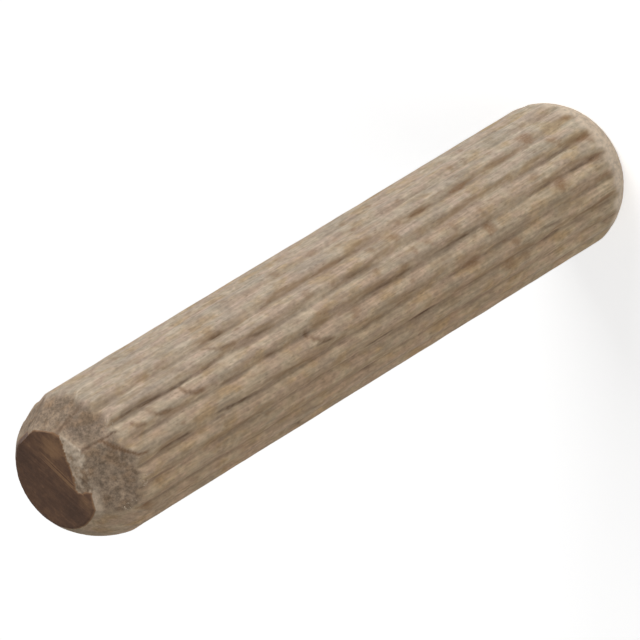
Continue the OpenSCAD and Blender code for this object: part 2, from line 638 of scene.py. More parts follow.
@dataclass
class DowelPin:
    """The dowel itself.

    Attributes:
        radius: Radius over the lands.
        length: Length from end to end.
        flutes: The flutes round the shank.
        noses: Both noses, the flats and the chip.
        blank: The blank that it is shaped from.
        seam: Width over which two cut surfaces round into each other.
        border: Width over which their looks blend.
        crease_depth: Depth of the crease between two flats.
        stroke_depth: Depth of a dark tear.
        ring_depth: Depth of a ring line.
        lump_sink: How far the lumps of the milled wood lie below it.
        proud: How far swollen wood may stand outside the lands.
        cut_edge: How far a cut surface lies inside the flutes where its shape starts and is whole.
        cut_look: The same for its look on the sawn nose.
        plain_look: The same for its look on the plain nose.
        spot_edge: Share of a mark's size at which it is full and fades out.
        line_edge: Share of a ring line's width at which it is full and fades out.
        crease_stain_and_shadow: How dark the two creases between the upper, front and lower flats are,
            partly brown fibre and partly painted shadow of the step between them.
        nose_share: How far the sawn nose looks cut where no flat is.
        bare_lip: Directions between which bare fibres show beside the chip.
        scorch_lip: Directions between which the scorch runs over the edge of the face.
        smooth_angle: Angle up to which an edge is shaded smooth, in degrees.
        saw_turn: Direction of the saw's lines across the sawn face.
        saw_bundle: Both ends of a bundle of light lines on the sawn face.
        scorch_spots: Places on the sawn face, with their size and how much more or less they are scorched.
        flecks: Brown ray flecks.
        strokes: Dark tears in the flutes.
        ring_lines: Reddish ring lines that cross the lands.
    """

    radius: float
    length: float
    flutes: Flutes = field(default_factory=Flutes)
    noses: Noses = field(default_factory=Noses)
    blank: Blank = field(default_factory=Blank)
    seam: float = 0.03
    border: float = 0.09
    crease_depth: float = 0.05
    stroke_depth: float = 0.05
    ring_depth: float = 0.02
    lump_sink: float = 0.006
    proud: float = 0.01
    cut_edge: Span = (-0.02, 0.08)
    cut_look: Span = (-0.03, 0.3)
    plain_look: Span = (-0.05, 0.1)
    # plain_look: The same for its look on the plain nose, which is pale wood brightened as painted light.
    spot_edge: Span = (0.45, 1.25)
    line_edge: Span = (0.4, 1.3)
    crease_stain_and_shadow: Span = (0.75, 1.0)
    nose_share: float = 0.2
    bare_lip: Band = Band(-162.0, -146.0, -124.0, -106.0)
    scorch_lip: Band = Band(-4.0, 8.0, 24.0, 44.0)
    smooth_angle: float = 55.0
    saw_turn: float = 26.7
    saw_bundle: tuple[Span, Span] = ((1.75, -0.05), (-0.75, -1.0))
    scorch_spots: tuple[tuple[float, float, float, float], ...] = (
        (-1.6, 0.0, 0.6, 0.3),
        (1.9, 1.3, 0.7, 0.22),
        (1.5, -1.2, 0.8, -0.32),
        (-1.6, -1.2, 0.45, -0.22),
        (0.4, 0.9, 0.9, 0.1),
    )
    flecks: tuple[Spot, ...] = (
        Spot(-54.8, 29.3, 0.38, 0.39, 0.42, 0.6),
        Spot(-56.8, 13.7, 0.7, 0.15, 0.7),
        Spot(-57.0, 10.7, 0.75, 0.17, 0.96),
        Spot(-57.0, 20.1, 0.75, 0.16, 0.6),
        Spot(-52.2, 5.1, 0.28, 0.47, 1.0, 0.3),
        Spot(-65.4, 16.3, 0.33, 0.34, 0.96, 0.4),
        Spot(-64.9, 18.0, 0.25, 0.23, 0.72),
        Spot(-65.7, 4.0, 0.3, 0.34, 0.84, 0.3),
        Spot(-82.1, 15.9, 0.2, 0.39, 0.6, 0.1),
        Spot(-82.6, 14.8, 0.2, 0.34, 0.6, 0.1),
        Spot(-82.6, 12.8, 0.2, 0.34, 0.54, 0.1),
        Spot(-82.6, 10.8, 0.2, 0.34, 0.54, 0.1),
        Spot(-82.6, 18.7, 0.2, 0.34, 0.42, 0.1),
        Spot(-81.1, 1.9, 0.2, 0.31, 0.72, 0.3),
        Spot(-97.5, 21.1, 0.38, 0.39, 0.6, -0.6),
        Spot(-97.7, 10.8, 0.4, 0.47, 1.0),
        Spot(-97.3, 5.2, 0.45, 0.44, 1.0),
        Spot(-112.9, 12.7, 0.75, 0.29, 0.96),
        Spot(-116.3, 9.5, 0.3, 0.26, 0.72),
        Spot(-131.4, 10.1, 0.5, 0.31, 0.84),
        Spot(-132.3, 8.8, 0.38, 0.26, 0.6),
        Spot(-46.0, 29.3, 0.38, 0.39, 0.36, 0.6),
        Spot(-36.2, 23.2, 0.38, 0.26, 0.48, 0.5),
        Spot(-37.9, 20.4, 0.33, 0.26, 0.54, 0.5),
        Spot(-32.9, 26.9, 0.33, 0.26, 0.36, 0.5),
        Spot(-37.1, 8.6, 0.2, 0.39, 0.42),
        Spot(-36.2, 4.2, 0.2, 0.39, 0.42),
        Spot(-152.0, 37.6, 0.62, 0.65, 0.72),
        Spot(152.0, 22.0, 0.75, 0.26, 0.72, 0.3),
        Spot(110.0, 9.5, 0.5, 0.31, 0.84),
        Spot(70.0, 27.0, 0.62, 0.26, 0.72, -0.4),
        Spot(28.0, 14.0, 0.5, 0.26, 0.6, 0.2),
        Spot(-50.8, 5.0, 0.5, 0.42, 0.9, 0.3),
        Spot(-67.0, 3.9, 0.3, 0.42, 0.7, 0.2),
        Spot(-81.0, 1.8, 0.22, 0.34, 0.6, 0.3),
        Spot(-54.5, 1.9, 0.5, 0.16, 0.9),
        Spot(-75.2, 2.1, 0.55, 0.2, 0.9),
        Spot(-93.0, 2.3, 0.7, 0.24, 0.95),
        Spot(-109.0, 2.4, 0.7, 0.2, 0.8),
        Spot(-125.5, 2.4, 0.7, 0.18, 0.7),
        Spot(-82.2, 6.6, 0.3, 0.3, 0.5),
        Spot(-69.0, 23.1, 0.4, 0.3, 0.6),
        Spot(-86.5, 22.9, 0.3, 0.28, 0.5),
        Spot(-89.0, 17.1, 0.4, 0.26, 0.6, 0.3),
    )
    strokes: tuple[Spot, ...] = (
        Spot(-57.3, 36.5, 1.6, 0.08, 0.35),
        Spot(-57.0, 29.2, 0.5, 0.1, 0.5),
        Spot(-57.3, 19.5, 0.9, 0.09, 0.5),
        Spot(-57.3, 13.8, 0.7, 0.09, 0.55),
        Spot(-73.0, 36.9, 0.6, 0.09, 0.8),
        Spot(-74.6, 35.2, 1.2, 0.11, 0.9, 14.0),
        Spot(-75.6, 33.2, 1.1, 0.1, 0.8),
        Spot(-74.5, 30.4, 1.6, 0.1, 0.5, -14.0),
        Spot(-73.5, 27.5, 1.4, 0.09, 0.45, 12.0),
        Spot(-73.0, 19.9, 1.0, 0.08, 0.5, 14.0),
        Spot(-75.4, 4.0, 1.2, 0.09, 0.6),
        Spot(-92.6, 36.0, 1.5, 0.09, 0.5),
        Spot(-92.4, 32.7, 1.8, 0.08, 0.4),
        Spot(-91.0, 27.6, 0.7, 0.06, 0.6, 12.0),
        Spot(-93.0, 24.5, 0.6, 0.06, 0.5, 8.0),
        Spot(-88.5, 22.2, 0.8, 0.05, 0.4, 10.0),
        Spot(-91.9, 18.2, 2.2, 0.1, 0.65),
        Spot(-91.9, 12.4, 2.0, 0.1, 0.6),
        Spot(-91.9, 6.4, 1.0, 0.09, 0.6),
        Spot(-92.6, 3.2, 1.3, 0.12, 0.7),
        Spot(-110.4, 34.8, 1.3, 0.1, 0.7),
        Spot(-110.2, 30.3, 1.7, 0.12, 1.0, 15.0),
        Spot(-105.1, 24.0, 1.1, 0.06, 0.6, 10.7),
        Spot(-114.3, 22.3, 0.8, 0.06, 0.5, 8.0),
        Spot(-107.0, 17.3, 1.4, 0.05, 0.45, 12.0),
        Spot(-103.0, 8.0, 1.2, 0.06, 0.5, 8.0),
        Spot(-101.5, 2.6, 0.9, 0.06, 0.5, 6.0),
        Spot(-127.2, 36.5, 1.4, 0.1, 0.5),
        Spot(-128.0, 26.8, 0.7, 0.08, 0.4),
        Spot(-126.4, 20.1, 1.2, 0.09, 0.8),
        Spot(-127.6, 16.8, 1.1, 0.11, 1.0),
        Spot(-127.2, 13.5, 1.0, 0.1, 0.6),
        Spot(-120.0, 6.8, 1.2, 0.08, 0.65, 12.0),
        Spot(-128.9, 6.6, 1.2, 0.11, 0.75),
        Spot(-144.9, 37.3, 0.6, 0.1, 0.6),
        Spot(-144.5, 31.9, 1.0, 0.1, 0.75, 10.6),
        Spot(-144.7, 12.1, 1.8, 0.11, 0.95, 20.0),
        Spot(-147.9, 20.8, 0.8, 0.09, 0.6, 9.0),
        Spot(-152.1, 25.1, 0.6, 0.09, 0.6, 6.0),
        Spot(-150.0, 34.1, 0.6, 0.08, 0.45, 5.0),
        Spot(-154.2, 35.9, 0.7, 0.08, 0.4, 6.0),
        Spot(-166.4, 25.7, 0.7, 0.1, 0.8, 2.5),
        Spot(165.0, 17.0, 1.6, 0.1, 0.8),
        Spot(132.0, 30.0, 1.8, 0.1, 0.8, -9.0),
        Spot(96.0, 8.0, 1.5, 0.1, 0.9),
        Spot(62.0, 19.0, 2.2, 0.1, 0.8, -12.0),
        Spot(27.0, 31.0, 1.5, 0.1, 0.7),
    )
    ring_lines: tuple[RingLine, ...] = (
        RingLine(
            ((-79.5, 39.0), (-86.8, 38.76), (-93.5, 38.44), (-99.0, 38.1), (-104.0, 37.75), (-105.6, 37.1)),
            0.075,
            1.0,
        ),
        RingLine(((-82.5, 37.2), (-86.0, 37.0), (-87.5, 36.5)), 0.11, 0.7),
        RingLine(((-79.0, 35.7), (-84.5, 35.7), (-87.0, 35.35), (-88.0, 34.7)), 0.13, 0.8),
        RingLine(((-78.4, 33.2), (-83.5, 33.2), (-87.0, 32.8), (-88.6, 32.2)), 0.13, 0.8),
        RingLine(((-92.0, 24.7), (-98.0, 24.5), (-102.5, 24.1), (-105.0, 23.4)), 0.13, 0.75),
        RingLine(((-62.0, 30.4), (-66.0, 30.2), (-70.0, 29.7), (-71.0, 28.8)), 0.13, 0.6),
    )

    def build(self) -> bpy.types.Object:
        """Shapes the dowel and marks its wood.

        Returns:
            The finished mesh object.
        """
        piece = self.blank.turn_up("dowel", self.radius * MM, self.length * MM)
        count = len(piece.data.vertices)
        flat_list = np.empty(3 * count)
        piece.data.vertices.foreach_get("co", flat_list)
        rough = flat_list.reshape(-1, 3) / MM
        shaped, marks = self.shape(rough)
        piece.data.vertices.foreach_set("co", (shaped * MM).ravel())
        for mark, values in marks.items():
            layer = piece.data.attributes.new(mark.value, "FLOAT", "POINT")
            layer.data.foreach_set("value", values.astype(np.float32))
        piece.data.update()
        pick_only(piece)
        bpy.ops.object.shade_smooth_by_angle(angle=math.radians(self.smooth_angle))
        return piece

    def shape(self, rough: np.ndarray) -> tuple[np.ndarray, dict[Mark, np.ndarray]]:
        """Moves the blank's points to the worn dowel's surface.

        Args:
            rough: Points of the blank, in millimetres.

        Returns:
            The shaped points in millimetres, and the value of each mark.
        """
        turn = np.degrees(np.arctan2(rough[:, 1], rough[:, 0]))
        spread = np.hypot(rough[:, 0], rough[:, 1]) / self.radius
        inside = spread < 1.0 - TINY / MM
        on_plain = (rough[:, 2] < TINY / MM) & inside
        on_sawn = (rough[:, 2] > self.length - TINY / MM) & inside

        rim_height = self.sawn_rim(turn)
        start = self.length - self.blank.sawn_zone
        lift = np.clip((rough[:, 2] - start) / self.blank.sawn_zone, 0.0, 1.0)
        height = np.where(lift > 0.0, start + lift * (rim_height - start), rough[:, 2])
        around, marks = self.side(self.skin(turn, height))

        reach = np.where(on_plain | on_sawn, spread * around, around)
        way = np.radians(turn)
        x, y = reach * np.cos(way), reach * np.sin(way)
        top, scorch, pale = self.sawn_face(x, y, around)
        topmost = on_sawn | (lift > 1.0 - TINY)
        z = np.where(topmost, top, np.where(on_plain, self.plain_face(x, y), height))

        marks[Mark.SCORCH] = np.where(topmost, scorch, marks[Mark.SCORCH] * (lift > 0.0))
        marks[Mark.PALE] = np.where(topmost, pale, marks[Mark.PALE])
        marks[Mark.SAWN] = np.where(topmost, self.sawn_lines(x, y), 0.0)
        ends = on_sawn | on_plain
        for mark in (Mark.FLUTE_SHADE_AND_DIRT, Mark.TORN_AND_FLANK_SHADE, Mark.FLECK, Mark.STROKE, Mark.SHADE):
            marks[mark] = np.where(ends, 0.0, marks[mark])
        marks[Mark.END_CUT] = np.where(ends, 1.0, marks[Mark.END_CUT])
        return np.column_stack([x, y, z]), marks

    def skin(self, turn: np.ndarray, height: np.ndarray) -> Skin:
        """Points on the round of the lands, in given directions and at given heights."""
        way = np.radians(turn)
        points = np.column_stack([self.radius * np.cos(way), self.radius * np.sin(way), height])
        return Skin(turn, height, points)

    def sawn_rim(self, turn: np.ndarray) -> np.ndarray:
        """Height of the sawn face's rim in each direction."""
        height = np.full_like(turn, self.length)
        way = np.radians(turn)
        for _ in range(3):
            reach = self.cut_back(self.skin(turn, height), frayed=False)[0]
            drop, _ = self.noses.chip_drop(reach * np.cos(way), reach * np.sin(way))
            height = self.length - drop
        return height

    def cut_back(self, skin: Skin, frayed: bool) -> tuple[np.ndarray, ...]:
        """Radius left by the noses and flats, and the look of the cut fibres.

        Args:
            skin: Points on the skin.
            frayed: Whether the borders between the flats are frayed.

        Returns:
            The radius, how dark the fibres are, how far they look cut, and the
            dark creases between the flats, which are partly brown fibre and partly painted shadow.
        """
        depth = self.length - skin.height
        plain = self.noses.plain(skin.height, self.radius)
        sawn = self.noses.sawn(skin.turn, depth, self.radius)
        left = np.minimum(plain, sawn)
        fray = Ripple.FLAT_FRAY.at(skin.points) if frayed else 0.0
        looks = self.noses.slopes(skin, depth, self.radius, torn=True)
        weights = [np.exp((self.radius - edge + 1.6 * fray) / self.border) for edge in looks]
        whole = np.exp((self.radius - left) / self.border) + sum(weights)
        shade = sum(weight * cut.shade for weight, cut in zip(weights, self.noses.flats)) / whole
        shade = shade * (0.35 + 0.65 * smooth(0.05, 0.7, depth))
        share = self.nose_share + (1.0 - self.nose_share) * sum(weights) / whole
        share = np.where(skin.height < self.length / 2.0, 0.0, share)
        crease = np.zeros_like(depth)
        # Dark creases between the upper, front and lower flats: partly brown fibre, partly painted shadow
        # of the step between them.
        for first, second, strength in zip(looks[1:], looks[2:], self.crease_stain_and_shadow):
            ridge = np.exp(-(((first - second + fray) / self.border) ** 2))
            ridge = ridge * (np.minimum(first, second) < left + 0.1)
            crease = np.maximum(crease, strength * ridge)
        for edge in self.noses.slopes(skin, depth, self.radius, torn=False):
            left = soft_min(left, edge, self.seam)
        return left, shade, share, crease

    def side(self, skin: Skin) -> tuple[np.ndarray, dict[Mark, np.ndarray]]:
        """Surface of the shank and noses.

        Args:
            skin: Points on the skin.

        Returns:
            The radius at each point, and the marks on it.
        """
        points = skin.points
        fall, torn = self.flutes.fall(skin)
        stroke = self.lenses(self.strokes, skin)
        fleck = self.lenses(self.flecks, skin)
        rings = self.drawn_lines(skin)
        left, shade, share, crease = self.cut_back(skin, frayed=True)
        fluted = self.radius - fall - self.stroke_depth * stroke
        cut = smooth(*self.cut_edge, fluted - left)
        shank = 1.0 - cut

        milled = stirred(points, Ripple.FIBRES, Ripple.FIBRES_SHORT, Ripple.BOW, Ripple.LUMPS)
        fuzzed = stirred(points, Ripple.FUZZ, Ripple.FUZZ_FINE)
        around = soft_min(fluted, left, self.seam) - self.ring_depth * rings
        around = around - self.crease_depth * crease * cut
        around = around + shank * (milled - self.lump_sink) + cut * fuzzed
        around = np.minimum(around, self.radius + self.proud)

        frayed = Ripple.CUT_FRAY.at(points)
        cut_look = share * smooth(*self.cut_look, self.radius - 0.4 * fall - left + frayed)
        # Plain nose: pale wood, brightened as painted light.
        pale_and_lit_nose = smooth(*self.plain_look, self.radius - 0.6 * fall - left + 0.5 * frayed)
        pale_and_lit_nose = pale_and_lit_nose * (skin.height < self.length / 2.0)
        depth = self.length - skin.height
        bare = smooth(0.5, 0.24, depth + 0.8 * frayed) * self.bare_lip.at(skin.turn)
        lip = 0.52 * self.scorch_lip.at(skin.turn) - 0.08
        marks = {
            # Depth in the flute, which the finish turns into painted shade and dirt at its bottom.
            Mark.FLUTE_SHADE_AND_DIRT: shank * np.clip(fall / self.flutes.depth, 0.0, 1.0),
            # Torn wood on the shaded flanks, with painted shade on the lit flanks.
            Mark.TORN_AND_FLANK_SHADE: shank * torn,
            Mark.FLECK: np.clip(shank * fleck + rings, 0.0, 1.0),
            # Dark tears, ring lines, and the creases between the flats, which are partly painted shadow.
            Mark.STROKE: np.clip(shank * stroke + cut * crease + 0.6 * rings, 0.0, 1.0),
            Mark.END_CUT: cut_look,
            Mark.SHADE: shade,
            Mark.SCORCH: 0.8 * smooth(-0.07, 0.07, lip - depth + 0.6 * frayed),
            # The plain nose, pale wood brightened as painted light, and bare fibres beside the chip.
            Mark.PALE: np.maximum(pale_and_lit_nose, 0.32 * bare),
            Mark.SAWN: np.zeros_like(depth),
        }
        return around, marks

    def lenses(self, spots: Sequence[Spot], skin: Skin) -> np.ndarray:
        """Mask of lens-shaped marks with frayed edges.

        Args:
            spots: The marks.
            skin: Points on the skin.

        Returns:
            The strongest mark at each point, from 0 to 1.
        """
        fray = Ripple.SPOT_FRAY.at(skin.points)
        mask = np.zeros_like(fray)
        for spot in spots:
            away = (skin.turn - spot.turn + HALF_TURN) % FULL_TURN - HALF_TURN
            run = np.radians(away) * self.radius
            rise = skin.height - spot.height
            if abs(spot.slant) > STEEP:
                run = run - rise / spot.slant
            else:
                rise = rise - spot.slant * run
            span = np.hypot(run / spot.wide, rise / spot.long)
            mask = np.maximum(mask, spot.strength * (1.0 - smooth(*self.spot_edge, span + fray)))
        return mask

    def drawn_lines(self, skin: Skin) -> np.ndarray:
        """Mask of the ring lines, from 0 to 1 at each point of the skin."""
        run = np.radians(skin.turn) * self.radius
        mask = np.zeros_like(run)
        for line in self.ring_lines:
            places = [np.array([math.radians(turn) * self.radius, height]) for turn, height in line.places]
            for start, end in zip(places, places[1:]):
                way = end - start
                share = ((run - start[0]) * way[0] + (skin.height - start[1]) * way[1]) / (way @ way)
                share = np.clip(share, 0.0, 1.0)
                off = np.hypot(run - start[0] - share * way[0], skin.height - start[1] - share * way[1])
                mask = np.maximum(mask, line.strength * (1.0 - smooth(*self.line_edge, off / line.wide)))
        return mask

    def sawn_lines(self, x: np.ndarray, y: np.ndarray) -> np.ndarray:
        """Mask of the bundle of light saw lines on the scorched face."""
        start, end = (np.array(place) for place in self.saw_bundle)
        run = end - start
        share = ((x - start[0]) * run[0] + (y - start[1]) * run[1]) / (run @ run)
        off = np.abs((x - start[0]) * run[1] - (y - start[1]) * run[0]) / math.sqrt(run @ run)
        return Band(-0.1, 0.3, 0.9, 1.1).at(share) * (1.0 - smooth(0.12, 0.34, off))

    @staticmethod
    def plain_face(x: np.ndarray, y: np.ndarray) -> np.ndarray:
        """Height of the plain face, which is rough end grain above its high spots."""
        points = np.column_stack([x, y, 0.0 * x])
        rough = stirred(points, Ripple.END_GRAIN, Ripple.END_GRAIN_FINE)
        return 0.012 * np.clip(rough + 0.4, 0.0, 2.0) * smooth(3.2, 2.7, np.hypot(x, y))

    def sawn_face(
        self, x: np.ndarray, y: np.ndarray, around: np.ndarray
    ) -> tuple[np.ndarray, np.ndarray, np.ndarray]:
        """The scorched face with the saw's lines and the chip.

        Args:
            x: Place along X.
            y: Place along Y.
            around: Radius of the face's rim in the point's direction.

        Returns:
            The height, how scorched the wood is, and how pale.
        """
        way = math.radians(self.saw_turn)
        along = x * math.cos(way) + y * math.sin(way)
        across = -x * math.sin(way) + y * math.cos(way)
        points = np.column_stack([along, across, 0.0 * x])
        drop, chip = self.noses.chip_drop(x, y)
        lines = stirred(points, Ripple.SAW_LINES, Ripple.SAW_BANDS)
        relief = 0.010 * np.clip(lines - 0.9, -2.0, 0.0) + 0.004 * (Ripple.SAW_PITS.at(points) - 0.6)
        rim = smooth(0.0, 0.16, around - np.hypot(x, y))
        height = self.length - drop + (1.0 - chip) * relief * (0.4 + 0.6 * rim)
        height = height - np.abs(chip * Ripple.CHIP_FLOOR.at(points))
        burnt = 1.0 - smooth(0.15, 0.85, chip + Ripple.SCORCH_FRAY.at(points))
        degree = 0.74 + Ripple.SCORCH_CLOUD.at(points)
        for spot_x, spot_y, size, more in self.scorch_spots:
            degree = degree + more * np.exp(-((x - spot_x) ** 2 + (y - spot_y) ** 2) / size**2)
        patch = stirred(points, Ripple.CHIP_PATCH, Ripple.CHIP_PATCH_FINE)
        far = smooth(0.6, -0.8, x)
        bare = np.clip(0.42 + 0.7 * patch - 0.55 * far, 0.0, 0.8) * smooth(0.3, 0.8, chip)
        return np.minimum(height, self.length), burnt * np.clip(degree, 0.3, 1.0), bare


def paint(red: int, green: int, blue: int) -> Tone:
    """Linear colour for a shader.

    Args:
        red: Red as seen on a screen, from 0 to 255.
        green: Green, likewise.
        blue: Blue, likewise.

    Returns:
        The colour with full opacity.
    """

    def linear(level: int) -> float:
        """Share of light for a level from 0 to 255."""
        share = level / 255.0
        return share / 12.92 if share <= 0.04045 else ((share + 0.055) / 1.055) ** 2.4

    return linear(red), linear(green), linear(blue), 1.0


@dataclass(frozen=True)
class Pattern:
    """A noise, or the distance to scattered points, on Object coordinates.

    Attributes:
        pitch: Size along each axis, in millimetres.
        detail: Octaves of finer noise.
        shift: Offset that picks one pattern from another.
        low: Level of the pattern that gives the first value.
        high: Level that gives the last value, or the same as low to leave the pattern as it is.
        first: First value.
        last: Last value.
        roughness: Share of each finer octave.
        turn: Turn about the dowel's axis, in degrees.
        cells: Whether it is the distance to scattered points.
    """

    pitch: tuple[float, float, float]
    detail: float
    shift: float
    low: float = 0.0
    high: float = 0.0
    first: float = 0.0
    last: float = 1.0
    roughness: float = 0.5
    turn: float = 0.0
    cells: bool = False


class Figure(Enum):
    """The patterns in the wood."""

    WARM_CAST = Pattern((0.7, 0.7, 1.8), 3.0, 3.0, 0.44, 0.64)
    ROSY_CAST = Pattern((0.6, 0.6, 1.3), 3.0, 19.0, 0.42, 0.6)
    GREY_CAST = Pattern((0.8, 0.8, 2.4), 3.0, 37.0, 0.46, 0.66)
    STREAKS = Pattern((0.11, 0.11, 1.6), 3.0, 5.0, 0.32, 0.68, 0.86, 1.11)
    MOTTLE = Pattern((0.24, 0.24, 0.36), 4.0, 11.0, 0.3, 0.7, 0.85, 1.14, roughness=0.6)
    TORN_EDGE = Pattern((0.12, 0.12, 0.8), 3.0, 23.0, 0.35, 0.65, 0.55, 1.1)
    DASHES = Pattern((0.17, 0.17, 0.6), 0.0, 17.0, 0.26, 0.08, 0.0, 0.34, cells=True)
    RAYS = Pattern((0.9, 0.9, 1.5), 0.0, 7.0, 0.2, 0.05, 0.0, 0.3, cells=True)
    FLECK_GRAIN = Pattern((0.1, 0.1, 0.16), 2.0, 29.0, 0.3, 0.6, 0.6, 1.0)
    STROKE_GRAIN = Pattern((0.12, 0.12, 0.5), 2.0, 97.0, 0.3, 0.6, 0.45, 1.0)
    BARE_FIBRES = Pattern((0.22, 0.34, 0.4), 4.0, 47.0, 0.3, 0.66, 0.82, 1.16, roughness=0.65)
    CUT_STAIN = Pattern((0.7, 0.7, 0.8), 2.0, 91.0, 0.46, 0.66, 0.0, 0.7)
    CUT_GRAIN = Pattern((0.2, 0.2, 0.2), 3.0, 43.0, 0.3, 0.7, 0.68, 1.36, roughness=0.7)
    CUT_PATCHES = Pattern((0.7, 0.7, 0.5), 3.0, 49.0, 0.34, 0.66, 0.84, 1.16)
    PORES = Pattern((0.15, 0.15, 0.18), 0.0, 13.0, 0.36, 0.14, 0.0, 0.6, cells=True)
    SAW_STREAKS = Pattern((4.0, 0.13, 4.0), 3.0, 53.0, 0.3, 0.72, 0.93, 1.1, turn=26.7)
    SCORCH_BLOTCH = Pattern((0.35, 0.25, 0.35), 3.0, 61.0, 0.3, 0.7, -0.09, 0.09, turn=26.7)
    SAW_LINES = Pattern((6.0, 0.09, 6.0), 1.0, 55.0, 0.5, 0.62, turn=22.0)
    GLOSS = Pattern((0.4, 0.4, 2.0), 2.0, 83.0, 0.3, 0.7, 0.72, 0.86)
    FIBRE_RELIEF = Pattern((0.05, 0.05, 1.2), 3.0, 71.0)
    FUZZ_RELIEF = Pattern((0.08, 0.08, 0.12), 3.0, 73.0, roughness=0.7)
    SAW_RELIEF = Pattern((3.0, 0.08, 3.0), 2.0, 79.0, turn=26.7)
    LOOSE_STREAKS = Pattern((0.1, 0.1, 0.2), 2.0, 101.0, 0.35, 0.65)
    LOOSE_RELIEF = Pattern((0.03, 0.03, 0.2), 2.0, 103.0)


class NodeSheet:
    """A material's node tree, with short calls for the nodes that the finishes use."""

    def __init__(self, name: str) -> None:
        """Starts an empty tree.

        Args:
            name: Name of the material.
        """
        self.material = bpy.data.materials.new(name)
        self.material.use_nodes = True
        self.tree = self.material.node_tree
        self.tree.nodes.clear()
        self.place = self.tree.nodes.new("ShaderNodeTexCoord").outputs["Object"]

    def node(self, kind: str, **settings: object) -> bpy.types.Node:
        """Adds a node and sets its properties."""
        made = self.tree.nodes.new(kind)
        for key, value in settings.items():
            setattr(made, key, value)
        return made

    def feed(self, socket: bpy.types.NodeSocket, value: object) -> None:
        """Links a socket to an output, or sets it to a value."""
        if isinstance(value, bpy.types.NodeSocket):
            self.tree.links.new(value, socket)
        else:
            socket.default_value = value

    def calc(self, operation: str, a: object, b: object = 0.0, clamp: bool = False) -> bpy.types.NodeSocket:
        """Adds a Math node and returns its output."""
        made = self.node("ShaderNodeMath", operation=operation, use_clamp=clamp)
        self.feed(made.inputs[0], a)
        self.feed(made.inputs[1], b)
        return made.outputs[0]

    def span(
        self, value: object, low: float, high: float, to_low: float = 0.0, to_high: float = 1.0
    ) -> bpy.types.NodeSocket:
        """Adds an eased Map Range node and returns its output."""
        made = self.node("ShaderNodeMapRange", interpolation_type="SMOOTHSTEP")
        self.feed(made.inputs["Value"], value)
        for key, number in (("From Min", low), ("From Max", high), ("To Min", to_low), ("To Max", to_high)):
            self.feed(made.inputs[key], number)
        return made.outputs["Result"]

    def draw(self, figure: Figure) -> bpy.types.NodeSocket:
        """Adds one of the wood's patterns.

        Args:
            figure: The pattern.

        Returns:
            Its value, stretched to its range where it has one.
        """
        pattern = figure.value
        place = self.place
        if pattern.turn:
            spin = self.node("ShaderNodeMapping")
            spin.inputs["Rotation"].default_value = (0.0, 0.0, math.radians(-pattern.turn))
            self.feed(spin.inputs["Vector"], place)
            place = spin.outputs[0]
        mapping = self.node("ShaderNodeMapping")
        ways = (1.0, 0.6, 1.9) if pattern.cells else (1.0, 1.3, -0.7)
        mapping.inputs["Location"].default_value = tuple(way * pattern.shift for way in ways)
        mapping.inputs["Scale"].default_value = tuple(1.0 / (size * MM) for size in pattern.pitch)
        self.feed(mapping.inputs["Vector"], place)
        made = self.node("ShaderNodeTexVoronoi" if pattern.cells else "ShaderNodeTexNoise")
        made.inputs["Scale"].default_value = 1.0
        if not pattern.cells:
            made.inputs["Detail"].default_value = pattern.detail
            made.inputs["Roughness"].default_value = pattern.roughness
        self.feed(made.inputs["Vector"], mapping.outputs[0])
        if pattern.low == pattern.high:
            return made.outputs[0]
        return self.span(made.outputs[0], pattern.low, pattern.high, pattern.first, pattern.last)

    def mark(self, mark: Mark) -> bpy.types.NodeSocket:
        """Reads one of the piece's point attributes."""
        return self.node("ShaderNodeAttribute", attribute_name=mark.value).outputs["Fac"]

    def blend(self, share: object, a: object, b: object, way: str = "MIX") -> bpy.types.NodeSocket:
        """Mixes two colours and returns the result."""
        made = self.node("ShaderNodeMix", data_type="RGBA", blend_type=way)
        self.feed(made.inputs[0], share)
        self.feed(made.inputs[6], a)
        self.feed(made.inputs[7], b)
        return made.outputs[2]

    def coat(self, mask: object, most: float, under: object, over: Tone) -> bpy.types.NodeSocket:
        """Lays a colour over another where a mask shows, up to a share of it."""
        return self.blend(self.calc("MULTIPLY", mask, most), under, over)

    def scale(self, colour: object, by: object) -> bpy.types.NodeSocket:
        """Multiplies a colour by a brightness."""
        made = self.node("ShaderNodeVectorMath", operation="SCALE")
        self.feed(made.inputs[0], colour[:3] if isinstance(colour, tuple) else colour)
        self.feed(made.inputs["Scale"], by)
        return made.outputs[0]

    def matt(
        self, colour: object, roughness: object, relief: object, strength: float, deep: float
    ) -> bpy.types.Material:
        """Ends the tree in a matt shader.

        Args:
            colour: Its colour.
            roughness: Its roughness.
            relief: Height of its fine relief, from 0 to 1.
            strength: Strength of the relief.
            deep: Depth of the relief, in millimetres.

        Returns:
            The finished material.
        """
        shader = self.node("ShaderNodeBsdfPrincipled")
        shader.inputs["Specular IOR Level"].default_value = 0.3
        bump = self.node("ShaderNodeBump")
        bump.inputs["Strength"].default_value = strength
        bump.inputs["Distance"].default_value = deep * MM
        self.feed(bump.inputs["Height"], relief)
        self.feed(shader.inputs["Base Color"], colour)
        self.feed(shader.inputs["Roughness"], roughness)
        self.feed(shader.inputs["Normal"], bump.outputs[0])
        output = self.node("ShaderNodeOutputMaterial")
        self.feed(output.inputs["Surface"], shader.outputs[0])
        return self.material


